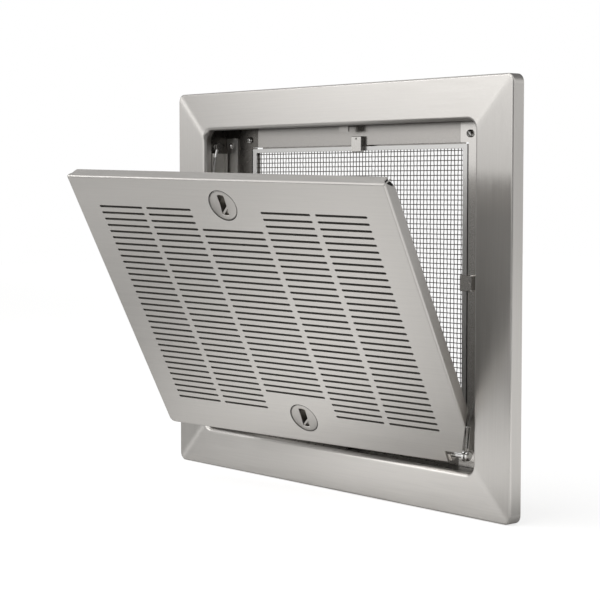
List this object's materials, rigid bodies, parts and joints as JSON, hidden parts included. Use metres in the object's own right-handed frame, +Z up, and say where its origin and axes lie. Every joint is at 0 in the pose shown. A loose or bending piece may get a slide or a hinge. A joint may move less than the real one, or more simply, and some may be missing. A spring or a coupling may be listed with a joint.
{
  "type": "exhaust grille",
  "caption": "Wall exhaust grille with a slotted, key-locked door hung open on wire ropes in front of a framed mesh filter.",
  "frame": {"origin": "centre of the wall opening, in the plane of the wall", "axes": "+X to the right seen from the room, +Y into the wall along the duct, +Z up"},
  "size_m": [0.5, 0.2467, 0.4],
  "materials": {
    "brushed_frame": "satin, brushed along each flange",
    "brushed_door": "satin, brushed from side to side",
    "mill_sheet": "plain mill finish",
    "bright_steel": "bright turned",
    "wire": "stranded wire",
    "filter_wire": "plain woven wire",
    "filter_frame": "satin",
    "filter_media": "dark open fibre pad"
  },
  "bodies": {
    "housing": {"surround_frame": "brushed_frame", "throat_box": "mill_sheet", "seat_strip_right": "mill_sheet", "seat_strip_left": "mill_sheet", "seat_strip_top": "mill_sheet", "seat_strip_bottom": "mill_sheet", "seat_screws": "bright_steel", "filter_rail_right": "filter_frame", "filter_rail_left": "filter_frame", "filter_rail_top": "filter_frame", "filter_rail_bottom": "filter_frame", "filter_mesh": "filter_wire", "button_pins": "bright_steel", "guide_channel_right": "mill_sheet", "guide_channel_left": "mill_sheet", "angle_plate_right": "mill_sheet", "angle_plate_left": "mill_sheet", "angle_rivets": "bright_steel", "catch_top": "mill_sheet", "catch_bottom": "mill_sheet", "wire_rope_right": "wire", "wire_rope_left": "wire", "wire_loop_right": "bright_steel", "wire_loop_left": "bright_steel", "anchor_stud_right": "bright_steel", "anchor_stud_left": "bright_steel"},
    "hangers": {"wire_eye_right": "bright_steel", "wire_eye_left": "bright_steel"},
    "door": {"door_panel": "brushed_door", "door_filter": "filter_media", "hinge_pin_right": "bright_steel", "hinge_pin_left": "bright_steel", "pin_block_right": "mill_sheet", "pin_block_left": "mill_sheet", "lock_housing_top": "bright_steel", "lock_ring_top": "bright_steel", "lock_housing_bottom": "bright_steel", "lock_ring_bottom": "bright_steel"},
    "top_lock": {"lock_core_top": "bright_steel", "lock_cam_top": "mill_sheet", "cam_bolt_top": "bright_steel"},
    "bottom_lock": {"lock_core_bottom": "bright_steel", "lock_cam_bottom": "mill_sheet", "cam_bolt_bottom": "bright_steel"},
    "button_top": {"turn_button_top": "mill_sheet"},
    "button_bottom": {"turn_button_bottom": "mill_sheet"},
    "button_right": {"turn_button_right": "mill_sheet"},
    "button_left": {"turn_button_left": "mill_sheet"}
  },
  "joints": [
    {"name": "door_swing", "type": "hinge", "parent": "housing", "child": "hangers", "pos_m": [0.177, 0.0032, -0.1473], "axis": [0, 0.1191, 0.9929], "range_deg": [-11.23, 0], "deforming": ["wire_rope_left"]},
    {"name": "door_tilt", "type": "hinge", "parent": "hangers", "child": "door", "pos_m": [0.177, 0.0032, -0.1473], "axis": [0.9809, 0.1934, -0.0232], "range_deg": [-30.5, 0]},
    {"name": "top_lock_turn", "type": "hinge", "parent": "door", "child": "top_lock", "pos_m": [0.03605, -0.16953, 0.08318], "axis": [-0.1548, 0.8465, 0.5094], "range_deg": [-90, 0]},
    {"name": "bottom_lock_turn", "type": "hinge", "parent": "door", "child": "bottom_lock", "pos_m": [0.00745, -0.04945, -0.12508], "axis": [-0.1548, 0.8465, 0.5094], "range_deg": [0, 90]},
    {"name": "button_turn_top", "type": "hinge", "parent": "housing", "child": "button_top", "pos_m": [0.01, 0.0195, 0.1477], "axis": [0, 1, 0], "range_deg": [0, 90]},
    {"name": "button_turn_bottom", "type": "hinge", "parent": "housing", "child": "button_bottom", "pos_m": [0.01, 0.0195, -0.1477], "axis": [0, 1, 0], "range_deg": [0, 90]},
    {"name": "button_turn_right", "type": "hinge", "parent": "housing", "child": "button_right", "pos_m": [0.1687, 0.0195, 0.011], "axis": [0, 1, 0], "range_deg": [0, 90]},
    {"name": "button_turn_left", "type": "hinge", "parent": "housing", "child": "button_left", "pos_m": [-0.1687, 0.0195, 0.011], "axis": [0, 1, 0], "range_deg": [0, 90]}
  ],
  "couplings": [
    {"joint": "door_swing", "follows": "door_tilt", "ratio": 0.368}
  ]
}
